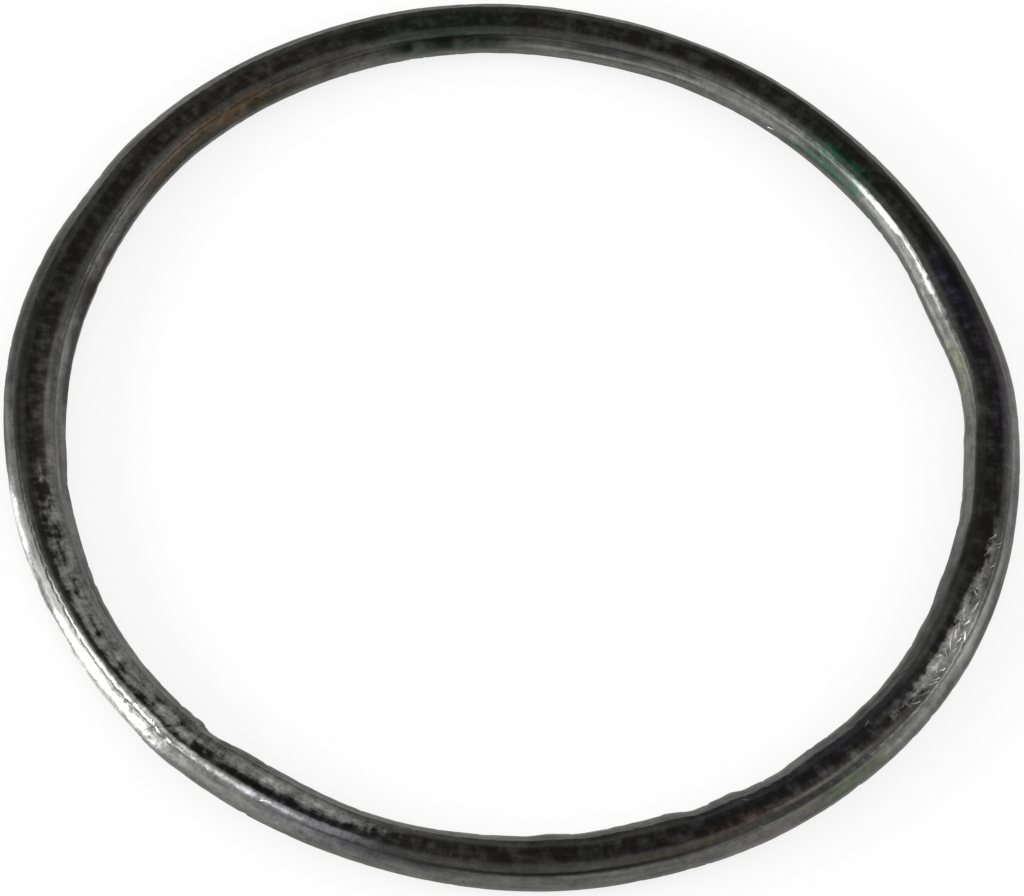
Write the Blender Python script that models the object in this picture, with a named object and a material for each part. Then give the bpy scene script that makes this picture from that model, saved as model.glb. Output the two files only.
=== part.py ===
"""Exhaust gasket: one ring of knitted steel wire and graphite, pressed in a die for a flanged exhaust joint.

The ring's axis is Z. Its lower sealing face lies on Z = 0 and the origin is the centre of the bore there.
Lengths are in metres and angles in radians.
"""

import math

import bmesh
import bpy

# The ring
BORE_DIAMETER = 0.0870
SECTION_WIDTH = 0.0055
SECTION_HEIGHT = 0.0036

# The section: a flat land above and below, a rolled rim at each of its edges, a crease under
# each rim, and flanks that belly out to a short upright wall at mid height
LAND_WIDTH = 0.0025
RIM_RADIUS = 0.00060
RIM_TURN = math.radians(65)
CREASE_WIDTH = 0.00030
CREASE_DEPTH = 0.00014
WALL_HEIGHT = 0.0009
FLANK_BELLY = 0.00009

# The scarfed seam, where the two ends of the wire rope were laid together before pressing
SEAM_ANGLE = math.radians(235)
SEAM_LEAN = math.radians(35)
SEAM_GAP = 0.00038
SEAM_DEPTH = 0.00024
SEAM_STEP = 0.00040
SEAM_REACH = math.radians(10)

# The most that handling has pushed the ring's edges in or out
SQUEEZE = 0.0005

# How finely the ring is turned
TURN_STEPS = 144
RIM_STEPS = 4
FLANK_STEPS = 2
WELD_DISTANCE = 0.000002

# Worked out from the sizes above
BORE_RADIUS = BORE_DIAMETER / 2
HALF_WIDTH = SECTION_WIDTH / 2
HALF_HEIGHT = SECTION_HEIGHT / 2
CENTRE_RADIUS = BORE_RADIUS + HALF_WIDTH
FULL_TURN = 2 * math.pi
SEAM_HALF_TURN = SEAM_GAP / CENTRE_RADIUS / 2

# Places where the ring is pushed out of true: azimuth and reach in degrees, then how far the outer
# edge and the bore's edge move outwards there, as shares of the squeeze
DENT_SHARES = (
    (15, 11, 0.35, 0.80),
    (28, 11, -0.10, -0.70),
    (46, 28, -0.75, 0.10),
    (72, 22, -0.10, 0.50),
    (104, 22, 0.25, 0.20),
    (158, 9, -0.50, 0.00),
    (171, 30, 0.15, -1.10),
    (182, 18, 0.45, 0.00),
    (228, 26, 0.00, 1.20),
    (262, 22, -0.45, 0.90),
    (294, 16, -0.20, -0.40),
    (336, 28, 0.50, 0.10),
    (348, 12, 0.10, -0.65),
)


def clear_scene():
    for old in list(bpy.data.objects):
        bpy.data.objects.remove(old, do_unlink=True)


def fade(distance, reach):
    """One at no distance, falling smoothly to zero at the reach."""
    if abs(distance) >= reach:
        return 0.0
    return (1 + math.cos(math.pi * distance / reach)) / 2


def turn_between(start, end):
    """The turn from one azimuth to another, the short way round, positive anticlockwise."""
    return math.remainder(end - start, FULL_TURN)


def rim_arc():
    """From the land's edge round the rim. X is measured from the section's centre line, Z from mid height."""
    centre_x = LAND_WIDTH / 2
    centre_z = HALF_HEIGHT - RIM_RADIUS
    points = []
    for step in range(RIM_STEPS + 1):
        turned = RIM_TURN * step / RIM_STEPS
        points.append((centre_x + RIM_RADIUS * math.sin(turned), centre_z + RIM_RADIUS * math.cos(turned)))
    return points


def crease_and_flank(rim_end):
    """From the rim's end across the crease and down the bellied flank to the top of the upright wall."""
    wall_top = (HALF_WIDTH, WALL_HEIGHT / 2)
    run_x = wall_top[0] - rim_end[0]
    run_z = wall_top[1] - rim_end[1]
    length = math.hypot(run_x, run_z)
    along = (run_x / length, run_z / length)
    outward = (-along[1], along[0])
    crease = (
        rim_end[0] + along[0] * CREASE_WIDTH / 2 - outward[0] * CREASE_DEPTH,
        rim_end[1] + along[1] * CREASE_WIDTH / 2 - outward[1] * CREASE_DEPTH,
    )
    flank_length = length - CREASE_WIDTH
    points = [crease]
    for step in range(FLANK_STEPS + 1):
        share = step / FLANK_STEPS
        travel = CREASE_WIDTH + flank_length * share
        belly = FLANK_BELLY * math.sin(math.pi * share)
        points.append((rim_end[0] + along[0] * travel + outward[0] * belly,
                       rim_end[1] + along[1] * travel + outward[1] * belly))
    return points


def section_outline():
    """The whole section as one closed loop: its upper outer quarter, mirrored down and then across."""
    rim = rim_arc()
    quarter = rim + crease_and_flank(rim[-1])
    outer = quarter + [(x, -z) for x, z in reversed(quarter)]
    return outer + [(-x, z) for x, z in reversed(outer)]


def seam_lean(across):
    """How far round the scarf carries the seam, at a distance from the section's centre line."""
    return -math.tan(SEAM_LEAN) * across / CENTRE_RADIUS


def edge_shifts(azimuth):
    """How far out the outer edge and the bore's edge stand from a true circle at this azimuth."""
    outer = 0.0
    bore = 0.0
    for place, reach, outer_share, bore_share in DENT_SHARES:
        weight = fade(turn_between(math.radians(place), azimuth), math.radians(reach))
        outer += SQUEEZE * outer_share * weight
        bore += SQUEEZE * bore_share * weight
    past_seam = turn_between(SEAM_ANGLE, azimuth)
    if past_seam > 0:
        bore += SEAM_STEP * fade(past_seam, SEAM_REACH)
        outer += SEAM_STEP * fade(past_seam, SEAM_REACH) / 2
    return outer, bore


def turn_section(bm, outline):
    """Turns the section once round the axis, starting and ending at the seam's two lips."""
    start = SEAM_ANGLE + SEAM_HALF_TURN
    ray = (math.cos(start), math.sin(start))
    loop = [
        bm.verts.new(((CENTRE_RADIUS + x) * ray[0], (CENTRE_RADIUS + x) * ray[1], HALF_HEIGHT + z))
        for x, z in outline
    ]
    edges = [bm.edges.new((first, second)) for first, second in zip(loop, loop[1:] + loop[:1])]
    around = {"cent": (0, 0, 0), "axis": (0, 0, 1)}
    seam_turn = 2 * SEAM_HALF_TURN
    ring = bmesh.ops.spin(bm, geom=loop + edges, angle=FULL_TURN - seam_turn, steps=TURN_STEPS, **around)
    bmesh.ops.spin(bm, geom=ring["geom_last"], angle=seam_turn, steps=2, **around)
    bmesh.ops.remove_doubles(bm, verts=bm.verts, dist=WELD_DISTANCE)
    bmesh.ops.recalc_face_normals(bm, faces=bm.faces)


def press_and_dent(bm):
    """Sinks the seam, leans it across the ring and pushes the edges out of true."""
    for vert in bm.verts:
        azimuth = math.atan2(vert.co.y, vert.co.x)
        across = math.hypot(vert.co.x, vert.co.y) - CENTRE_RADIUS
        rise = vert.co.z - HALF_HEIGHT
        from_seam = turn_between(SEAM_ANGLE, azimuth)
        outer, bore = edge_shifts(azimuth)
        outer_weight = (across / HALF_WIDTH + 1) / 2
        sunk = SEAM_DEPTH * max(0.0, 1 - abs(from_seam) / SEAM_HALF_TURN)
        shift = outer * outer_weight + bore * (1 - outer_weight)
        radius = CENTRE_RADIUS + across * (1 - sunk / HALF_WIDTH) + shift
        azimuth += seam_lean(across) * fade(from_seam, SEAM_REACH)
        vert.co.x = radius * math.cos(azimuth)
        vert.co.y = radius * math.sin(azimuth)
        vert.co.z = HALF_HEIGHT + rise * (1 - sunk / HALF_HEIGHT)


def graphite_mesh_material():
    material = bpy.data.materials.new("graphite_steel_mesh")
    material.use_nodes = True
    shader = material.node_tree.nodes["Principled BSDF"]
    shader.inputs["Base Color"].default_value = (0.045, 0.043, 0.040, 1)
    shader.inputs["Metallic"].default_value = 0.7
    shader.inputs["Roughness"].default_value = 0.45
    material.diffuse_color = (0.045, 0.043, 0.040, 1)
    return material


def gasket_ring():
    bm = bmesh.new()
    turn_section(bm, section_outline())
    press_and_dent(bm)
    mesh = bpy.data.meshes.new("gasket_ring")
    bm.to_mesh(mesh)
    bm.free()
    mesh.shade_smooth()
    mesh.set_sharp_from_angle(angle=math.radians(40))
    mesh.materials.append(graphite_mesh_material())
    ring = bpy.data.objects.new("gasket_ring", mesh)
    bpy.context.scene.collection.objects.link(ring)
    return ring


clear_scene()
gasket_ring()
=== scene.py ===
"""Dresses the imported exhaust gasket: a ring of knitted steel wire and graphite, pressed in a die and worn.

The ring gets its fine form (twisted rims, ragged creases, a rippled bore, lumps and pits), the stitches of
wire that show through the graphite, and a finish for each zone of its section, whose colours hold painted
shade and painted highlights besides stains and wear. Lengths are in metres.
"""

import math

import bpy
import numpy as np
from bpy.props import FloatProperty, FloatVectorProperty, IntProperty, PointerProperty
from mathutils import Matrix, Vector


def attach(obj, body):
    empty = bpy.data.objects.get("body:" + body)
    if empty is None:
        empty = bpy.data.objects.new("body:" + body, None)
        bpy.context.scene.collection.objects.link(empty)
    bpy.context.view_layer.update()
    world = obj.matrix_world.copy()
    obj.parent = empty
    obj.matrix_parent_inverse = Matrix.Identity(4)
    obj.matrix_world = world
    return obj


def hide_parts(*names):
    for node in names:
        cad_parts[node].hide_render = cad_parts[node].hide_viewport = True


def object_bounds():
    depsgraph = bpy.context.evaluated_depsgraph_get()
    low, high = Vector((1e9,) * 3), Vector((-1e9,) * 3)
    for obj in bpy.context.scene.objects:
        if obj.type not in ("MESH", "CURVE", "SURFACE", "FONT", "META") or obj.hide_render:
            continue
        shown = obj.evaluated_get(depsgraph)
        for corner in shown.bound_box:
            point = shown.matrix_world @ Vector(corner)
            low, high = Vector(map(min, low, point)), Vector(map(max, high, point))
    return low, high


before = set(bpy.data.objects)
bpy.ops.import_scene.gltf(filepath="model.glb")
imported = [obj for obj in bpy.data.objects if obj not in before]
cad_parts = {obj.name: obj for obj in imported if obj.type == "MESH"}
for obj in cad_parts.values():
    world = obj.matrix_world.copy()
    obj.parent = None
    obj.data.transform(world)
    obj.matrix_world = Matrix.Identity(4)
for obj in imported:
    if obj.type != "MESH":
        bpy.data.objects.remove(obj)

bl_info = {
    "name": "Pressed Wire Exhaust Gasket",
    "version": (1, 0, 0),
    "blender": (4, 5, 0),
    "location": "3D Viewport > Sidebar > Gasket",
    "description": "Dresses a packed exhaust gasket with its pressed wire and graphite surface",
    "category": "Object",
}

CAD_LOW, CAD_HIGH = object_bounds()
RING_NODE = "gasket_ring"
FULL_TURN = 2 * math.pi

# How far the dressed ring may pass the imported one's box
BOX_TOLERANCE = 0.0001

# The bake map lays the skin out in strips, each of this width
MAP_STRIPS = 4
MAP_STRIP_WIDTH = 0.97

# The arm of a stitch that surfaces: points along it and round it, how far it leads its middle round the
# ring, in rows, and how far it bows, in columns
STRAND_POINTS = 5
STRAND_SIDES = 5
STITCH_LEAN = 1.9
STITCH_BOW = 0.10

# What chance does to an arm: the least share of its plain length and what is added, its width alike,
# and how many rows it strays
STITCH_SEED = 41
LENGTH_SHARES = (0.55, 0.55)
WIDTH_SHARES = (0.6, 0.6)
STITCH_STRAY = 0.5

# An arm's taper starts at this share of a half wave and is blunted by the power. Its underside lies in
# the skin by a share of its rise.
TAPER_START_SHARE = 0.06
TAPER_POWER = 0.6
SUNK_SHARE = 0.2

# How bright a surfaced wire is on a land, what a rim or flank adds and what rubbing and painted highlights
# add, then the least share of their sum and what chance adds
LAND_TONE = 0.05
FLANK_TONE = 0.28
RUBBED_AND_HIGHLIT_TONE = 0.8
TONE_SHARES = (0.7, 0.6)

# Rubbed steel and painted highlights are patchy about this sum of their patterns, and whole at this rubbing
# and highlight. Flanks have this share of the patches, and lands that much more. The last is how bare and
# bright it is between them.
PATCH_MIDDLE = 1.8
WHOLE_RUBBING_AND_HIGHLIGHT = 1.2
FLANK_PATCH_SHARE = 0.3
LAND_PATCH_SHARE = 0.95
BARE_AND_HIGHLIT_START = 0.47

# How far the finest grain shades the colour, how rough the skin and the wires are, and how far the bump
# of each reaches, in metres
GRAIN_SHADE = 0.8
SKIN_ROUGHNESS = 0.50
WIRE_ROUGHNESS = 0.44
SKIN_BUMP = 0.00005
WIRE_BUMP = 0.00002

# The softboxes: where they hang as seen from the ring, and their width and height
LAMP_DISTANCE = 0.45
KEY_DIRECTION = (-0.90, -0.27, 0.33)
KEY_SIZE = (0.30, 0.12)
FILL_DIRECTION = (0.87, 0.16, 0.47)
FILL_SIZE = (0.24, 0.14)

# The floor: its reach, how uneven its colour is, and how far it shows as plain white, which keeps the
# ring's shadow faint
FLOOR_REACH = 3.0
FLOOR_UNEVENNESS = 0.2
FLOOR_WHITENESS = 0.8

# The photograph's frame, and how far the ring's middle lies right of and above its middle
PICTURE_WIDTH = 1024
RING_RIGHT_PIXELS = 3.5536
RING_UP_PIXELS = 21.2182
SENSOR_WIDTH = 36.0
CLIP_START = 0.01

# Places where the ring is pushed out of true: azimuth and reach in degrees, then how far the outer
# edge and the bore's edge move outwards there, as shares of the squeeze
DENT_SHARES = (
    (15, 11, 0.35, 0.8),
    (28, 11, -0.1, -0.7),
    (46, 28, -0.75, 0.1),
    (72, 22, -0.1, 0.5),
    (104, 22, 0.25, 0.2),
    (158, 9, -0.5, 0.0),
    (171, 30, 0.15, -1.1),
    (182, 18, 0.45, 0.0),
    (228, 26, 0.0, 1.2),
    (262, 22, -0.45, 0.9),
    (294, 16, -0.2, -0.4),
    (336, 28, 0.5, 0.1),
    (348, 12, 0.1, -0.65),
)

# Where the bore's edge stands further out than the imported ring's: azimuth, reach, share of the squeeze
BORE_SHIFT_SHARES = ((192, 16, -0.65), (222, 14, 0.20), (343, 22, 0.20))

# How strongly the bore's edge ripples: azimuth, reach, share
RIPPLE_SHARES = ((300, 34, 1.0), (335, 24, 0.4), (2, 30, 0.4), (100, 40, 0.2), (200, 40, 0.2))

# Where the surface is roughest: azimuth, reach, share
ROUGH_SHARES = ((232, 40, 1.0), (318, 46, 0.5), (35, 30, 0.3), (140, 46, 0.3))

# Where soot and painted shade darken the outer crease, and where they darken the one round the bore
OUTER_SOOT_AND_SHADE_SHARES = ((240, 24, 0.4), (284, 42, 1.0))
BORE_SOOT_AND_SHADE_SHARES = ((84, 20, 0.8), (106, 16, 1.0), (135, 30, 0.4), (6, 14, 0.3))

# Noise over the surface: cells round the ring, cells round the section, and seed
NOISES = {
    "swell": (64, 6, 11),
    "lumps": (270, 16, 12),
    "bars": (160, 22, 13),
    "pits": (420, 26, 14),
    "twist_drift": (60, 4, 15),
    "broad_ripple": (100, 1, 21),
    "small_ripple": (210, 1, 22),
    "row_pull": (110, 6, 31),
    "column_pull": (80, 5, 32),
    "rubbed_and_highlit_patches": (220, 12, 33),
    "ragged_stain_and_light": (200, 12, 34),
    "rubbed_and_highlit_streaks": (50, 34, 35),
    "surfacing": (150, 10, 36),
    "speckled_stain_and_light": (600, 34, 37),
}

# The places below are round the section: 0 under the ring, 0.25 on its outer wall, 0.5 on top and
# 0.75 on its bore's wall. Each row is an azimuth and its reach, a place and its reach, and a value.

# Where the steel is rubbed bare, and where highlights are painted on as bright bare steel, from 0 to 1
RUBBED_AND_HIGHLIT = (
    (226, 24, 0.305, 0.095, 1.0),
    (220, 28, 0.238, 0.08, 1.0),
    (228, 22, 0.398, 0.046, 1.0),
    (234, 14, 0.427, 0.034, 1.0),
    (247, 20, 0.412, 0.05, 0.84),
    (245, 18, 0.385, 0.032, 0.64),
    (248, 18, 0.3, 0.08, 0.56),
    (204, 13, 0.278, 0.075, 1.0),
    (222, 34, 0.548, 0.118, 0.46),
    (220, 26, 0.488, 0.056, 0.47),
    (234, 14, 0.515, 0.09, 0.52),
    (249, 20, 0.54, 0.082, 0.6),
    (43, 9, 0.643, 0.05, 0.88),
    (33, 11, 0.643, 0.05, 0.8),
    (33, 16, 0.705, 0.055, 0.4),
    (67, 22, 0.69, 0.08, 0.35),
    (314, 38, 0.55, 0.08, 0.13),
    (332, 26, 0.376, 0.056, 0.46),
    (338, 16, 0.474, 0.06, 0.62),
    (348, 14, 0.45, 0.06, 0.48),
    (340, 11, 0.425, 0.05, 0.66),
)

# Where stitches of wire surface, besides the few that show everywhere
SURFACED = (
    (342, 14, 0.43, 0.06, 0.8),
    (328, 12, 0.44, 0.05, 0.2),
    (246, 20, 0.4, 0.04, 0.05),
    (150, 40, 0.66, 0.08, 0.1),
)

# Heat tints and sooty stretches, and painted shade and painted highlights: what the colour is multiplied by,
# or its three parts
STAINS_AND_PAINTED_LIGHT = (
    (51, 10, 0.545, 0.06, (0.32, 1.6, 1.0)),
    (52, 11, 0.615, 0.04, (0.78, 1.35, 1.15)),
    (52, 12, 0.695, 0.08, (0.27, 0.48, 0.4)),
    (29, 8, 0.5, 0.08, (1.0, 0.95, 1.7)),
    (107, 14, 0.675, 0.09, (0.11, 0.16, 0.13)),
    (107, 13, 0.5, 0.095, (0.82, 1.3, 0.8)),
    (107, 14, 0.59, 0.05, (0.6, 0.74, 0.64)),
    (93, 34, 0.655, 0.028, 0.33),
    (116, 14, 0.665, 0.055, 0.5),
    (80, 26, 0.702, 0.012, 0.5),
    (84, 20, 0.69, 0.014, (1.7, 1.7, 1.65)),
    (88, 16, 0.676, 0.012, 0.5),
    (150, 50, 0.69, 0.1, (0.36, 0.36, 0.34)),
    (133, 28, 0.64, 0.12, (0.72, 0.68, 0.62)),
    (128, 8, 0.655, 0.08, (0.96, 0.92, 0.86)),
    (138, 10, 0.655, 0.09, (1.02, 0.73, 0.53)),
    (150, 9, 0.655, 0.08, (1.16, 0.99, 0.83)),
    (139, 22, 0.5, 0.095, (1.4, 1.26, 1.0)),
    (141, 14, 0.6, 0.045, (1.34, 1.08, 0.86)),
    (133, 5, 0.68, 0.06, (0.9, 1.0, 0.9)),
    (144, 5, 0.69, 0.05, (0.92, 1.03, 0.9)),
    (168, 8, 0.665, 0.07, (1.02, 0.88, 0.94)),
    (178, 24, 0.7, 0.07, 0.46),
    (19, 8, 0.68, 0.08, (0.98, 1.03, 0.8)),
    (318, 12, 0.33, 0.09, (0.98, 1.05, 0.84)),
    (296, 9, 0.4, 0.07, (1.05, 1.02, 0.8)),
    (304, 10, 0.46, 0.09, (1.26, 0.95, 0.84)),
    (308, 9, 0.3, 0.06, (1.04, 0.97, 0.99)),
    (20, 28, 0.46, 0.11, (1.02, 0.95, 1.14)),
    (254, 18, 0.42, 0.18, (1.0, 0.98, 1.08)),
    (316, 34, 0.56, 0.08, (0.98, 1.0, 1.14)),
    (172, 8, 0.645, 0.06, (0.5, 0.51, 0.46)),
    (170, 12, 0.725, 0.05, 0.68),
    (177, 25, 0.335, 0.07, 0.4),
    (266, 14, 0.345, 0.048, (0.5, 0.49, 0.52)),
    (300, 24, 0.335, 0.045, (0.78, 0.78, 0.76)),
    (346, 14, 0.315, 0.045, 0.72),
    (342, 16, 0.365, 0.02, (1.4, 1.4, 1.37)),
    (324, 18, 0.358, 0.032, (0.72, 0.72, 0.71)),
    (341, 12, 0.474, 0.042, (1.45, 1.46, 1.38)),
    (315, 22, 0.458, 0.054, (3.1, 3.1, 3.0)),
    (331, 12, 0.518, 0.042, (2.0, 2.0, 1.9)),
    (216, 24, 0.24, 0.08, 1.24),
    (40, 22, 0.45, 0.05, 0.55),
    (345, 18, 0.61, 0.06, 0.58),
    (316, 13, 0.4, 0.04, 0.65),
    (356, 15, 0.33, 0.05, 0.72),
    (72, 26, 0.6, 0.045, (1.5, 1.5, 1.47)),
    (0, 26, 0.59, 0.08, 0.3),
    (20, 13, 0.57, 0.05, 0.5),
    (30, 24, 0.42, 0.09, 0.38),
    (64, 36, 0.405, 0.095, 0.32),
    (104, 36, 0.405, 0.095, 0.34),
    (146, 34, 0.405, 0.09, 0.38),
    (178, 24, 0.405, 0.08, 0.34),
    (194, 13, 0.375, 0.09, 0.5),
    (292, 46, 0.605, 0.07, 0.27),
    (322, 24, 0.58, 0.07, (0.42, 0.42, 0.43)),
    (335, 30, 0.65, 0.06, (0.45, 0.45, 0.46)),
    (188, 26, 0.6, 0.07, (1.6, 1.6, 1.56)),
    (190, 26, 0.53, 0.08, (2.0, 2.0, 1.98)),
    (208, 28, 0.6, 0.06, (1.4, 1.4, 1.38)),
    (206, 14, 0.437, 0.018, 0.45),
    (222, 12, 0.441, 0.018, 0.62),
    (236, 10, 0.455, 0.018, 0.55),
    (246, 10, 0.462, 0.022, 0.58),
    (256, 12, 0.48, 0.026, 0.6),
    (266, 24, 0.48, 0.07, 1.5),
    (62, 14, 0.603, 0.03, (1.45, 1.45, 1.42)),
    (117, 10, 0.648, 0.02, 0.52),
    (117, 10, 0.606, 0.022, (1.45, 1.45, 1.42)),
    (183, 12, 0.612, 0.062, 0.7),
    (193, 7, 0.29, 0.045, 0.66),
    (192, 14, 0.545, 0.055, 1.6),
    (244, 8, 0.64, 0.04, 0.72),
    (239, 14, 0.38, 0.05, 1.25),
    (162, 26, 0.365, 0.04, 0.7),
)


def metres(name, description, default, precision=5):
    return FloatProperty(name=name, description=description, default=default, unit="LENGTH",
                         precision=precision)


def degrees(name, description, turn):
    return FloatProperty(name=name, description=description, default=math.radians(turn), subtype="ANGLE")


def amount(name, description, default):
    return FloatProperty(name=name, description=description, default=default)


def count(name, description, default):
    return IntProperty(name=name, description=description, default=default)


def tint(name, description, default):
    return FloatVectorProperty(name=name, description=description, default=default, subtype="COLOR", size=3)


class GasketForm(bpy.types.PropertyGroup):
    """The pressed ring's driving sizes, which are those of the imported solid."""

    bore_diameter: metres("Bore Diameter", "Across the ring's hole", 0.0870)
    section_width: metres("Section Width", "From the bore's wall to the outer wall", 0.0055)
    section_height: metres("Section Height", "From one sealing face to the other", CAD_HIGH.z - CAD_LOW.z)
    land_width: metres("Land Width", "The flat band of a sealing face", 0.0025)
    rim_radius: metres("Rim Radius", "Round of the rolled rims", 0.00060)
    rim_turn: degrees("Rim Turn", "How far each rim rolls over", 65)
    crease_width: metres("Crease Width", "Across the crease under a rim", 0.00030)
    crease_depth: metres("Crease Depth", "Depth of the crease under a rim", 0.00014)
    wall_height: metres("Wall Height", "The upright wall at mid height", 0.0009)
    flank_belly: metres("Flank Belly", "How far a flank bulges", 0.00009)
    seam_angle: degrees("Seam Angle", "Where the wire rope's ends meet", 235)
    seam_lean: degrees("Seam Lean", "How far the scarf leans", 35)
    seam_gap: metres("Seam Gap", "Width of the seam's groove", 0.00038)
    seam_depth: metres("Seam Depth", "Depth of the seam's groove", 0.00024)
    seam_step: metres("Seam Step", "How far the bore steps out past the seam", 0.00040)
    seam_reach: degrees("Seam Reach", "How far round the seam still shows", 10)
    squeeze: metres("Squeeze", "How far an edge stands out of true at a share of one", 0.0005)


class PressedSurface(bpy.types.PropertyGroup):
    """How finely the surface is made, and how deep its marks are."""

    stations_per_quarter: count("Stations", "Cuts through a quarter of the ring", 308)
    inset: metres("Inset", "Keeps the raised marks inside the packed solid", 0.00003)
    ripple_height: metres("Bore Ripple", "The bore's edge, from trough to crest at most", 0.0009)
    swell_depth: metres("Swell Depth", "Broad unevenness of the pressing", 0.00005)
    lump_depth: metres("Lump Depth", "Lumps where wires cross under the skin", 0.00006)
    pit_depth: metres("Pit Depth", "Pits where graphite has come away", 0.00009)
    twist_count: count("Rim Twists", "Twists of the rolled rim round the ring", 230)
    twist_depth: metres("Twist Depth", "Depth between the rim's twists", 0.00007)
    stitch_rows: count("Stitch Rows", "Rows of knitting round the ring", 540)
    stitch_columns: count("Stitch Columns", "Columns of knitting round the section", 18)
    strand_width: metres("Strand Width", "Width of a pressed wire", 0.00017)
    strand_rise: metres("Strand Rise", "How far a surfaced wire stands out", 0.000022, precision=6)


class GasketFinish(bpy.types.PropertyGroup):
    """Colours of the graphite and the wire, as they look in plain light. The graphite is painted darker
    still, as shade for a dark surround that the sealing faces mirror.
    """

    # Graphite's own dark, deepened as painted shade for a dark surround mirrored by the sealing faces
    graphite_and_top_shade: tint("Graphite", "The dark fill of the sealing faces", (0.0062, 0.0058, 0.0052))
    smeared: tint("Smeared Graphite", "Graphite thinned over the wire", (0.034, 0.034, 0.033))
    rim: tint("Rim", "Graphite and steel of the rolled rims", (0.075, 0.074, 0.070))
    flank: tint("Flank", "Greyed wire and graphite of flanks and walls", (0.163, 0.163, 0.154))
    # Bare steel, also painted on where the lamps' highlights fall
    bare_steel_and_highlight: tint("Bare Steel", "Steel rubbed bright", (0.80, 0.80, 0.78))


class GasketStage(bpy.types.PropertyGroup):
    """The floor, the light and the camera."""

    floor_colour: tint("Floor", "The pale floor", (0.92, 0.92, 0.92))
    sky_strength: amount("Sky Strength", "Plain light from all round", 0.75)
    key_power: amount("Key Power", "The low softbox on the left", 1.5)
    fill_power: amount("Fill Power", "The low softbox on the right", 0.5)
    camera_elevation: degrees("Camera Elevation", "Height of the view above the floor", 59.6614)
    camera_roll: degrees("Camera Roll", "How far the camera is turned about its view", 9.0726)
    camera_distance: metres("Camera Distance", "From the ring's centre", 0.490)
    lens: amount("Lens", "Focal length in millimetres", 178.86)


def smoothed(share):
    """Eases a share from 0 to 1 in and out."""
    share = np.clip(share, 0, 1)
    return share * share * (3 - 2 * share)


def fade(distance, reach):
    """One at no distance, falling smoothly to zero at the reach."""
    near = np.clip(np.abs(distance) / reach, 0, 1)
    return (1 + np.cos(math.pi * near)) / 2


def turn_between(start, end):
    """The turn from one azimuth to another, the short way round, positive anticlockwise."""
    return (end - start + math.pi) % FULL_TURN - math.pi


def closed_noise(name, turn_share, section_share):
    """Smooth noise from 0 to 1 that closes on itself round the ring and round its section."""
    round_cells, section_cells, seed = NOISES[name]
    lattice = np.random.default_rng(seed).random((round_cells, section_cells))
    return looked_up(lattice, (turn_share % 1) * round_cells, (section_share % 1) * section_cells, smoothed)


def looked_up(grid, row, column, ease):
    """What a grid that closes on itself holds between its rows and columns, by eased shares."""
    row, column = np.broadcast_arrays(row, column)
    low_row, low_column = np.floor(row).astype(int), np.floor(column).astype(int)
    row_ease, column_ease = ease(row - low_row), ease(column - low_column)
    rows, columns = grid.shape[:2]
    low_row, high_row = low_row % rows, (low_row + 1) % rows
    low_column, high_column = low_column % columns, (low_column + 1) % columns
    near = grid[low_row, low_column] * (1 - column_ease) + grid[low_row, high_column] * column_ease
    far = grid[high_row, low_column] * (1 - column_ease) + grid[high_row, high_column] * column_ease
    return near * (1 - row_ease) + far * row_ease


def share_at(azimuth, places):
    """The sum of a table's shares at an azimuth, each faded over its reach."""
    total = 0.0
    for place, reach, share in places:
        total = total + share * fade(turn_between(math.radians(place), azimuth), math.radians(reach))
    return total


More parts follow.
